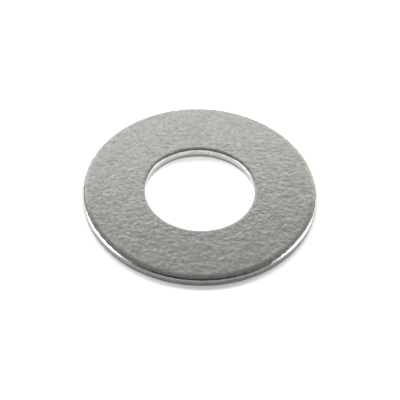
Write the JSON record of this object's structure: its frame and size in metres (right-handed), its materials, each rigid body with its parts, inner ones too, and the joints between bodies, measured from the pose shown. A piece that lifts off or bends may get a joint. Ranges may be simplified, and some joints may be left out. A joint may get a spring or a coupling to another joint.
{
  "type": "flat washer",
  "caption": "Thin round flat washer of zinc-plated steel, with a plain clearance bore and flat bearing faces that spread the clamping load of a bolt head or nut.",
  "frame": {"origin": "centre of the bore on the lower bearing face", "axes": "+Z along the bore's axis, from the lower face, whose edges are sharp, to the upper face, whose edges are rounded; X and Y lie in the lower face and are alike, because the washer is round"},
  "size_m": [0.018, 0.018, 0.0009],
  "materials": {
    "zinc_plated_steel": "satin grey zinc plate with a fine dull grain on the faces, brighter on the sheared edges"
  },
  "bodies": {
    "root": {"washer": "zinc_plated_steel"}
  },
  "joints": []
}
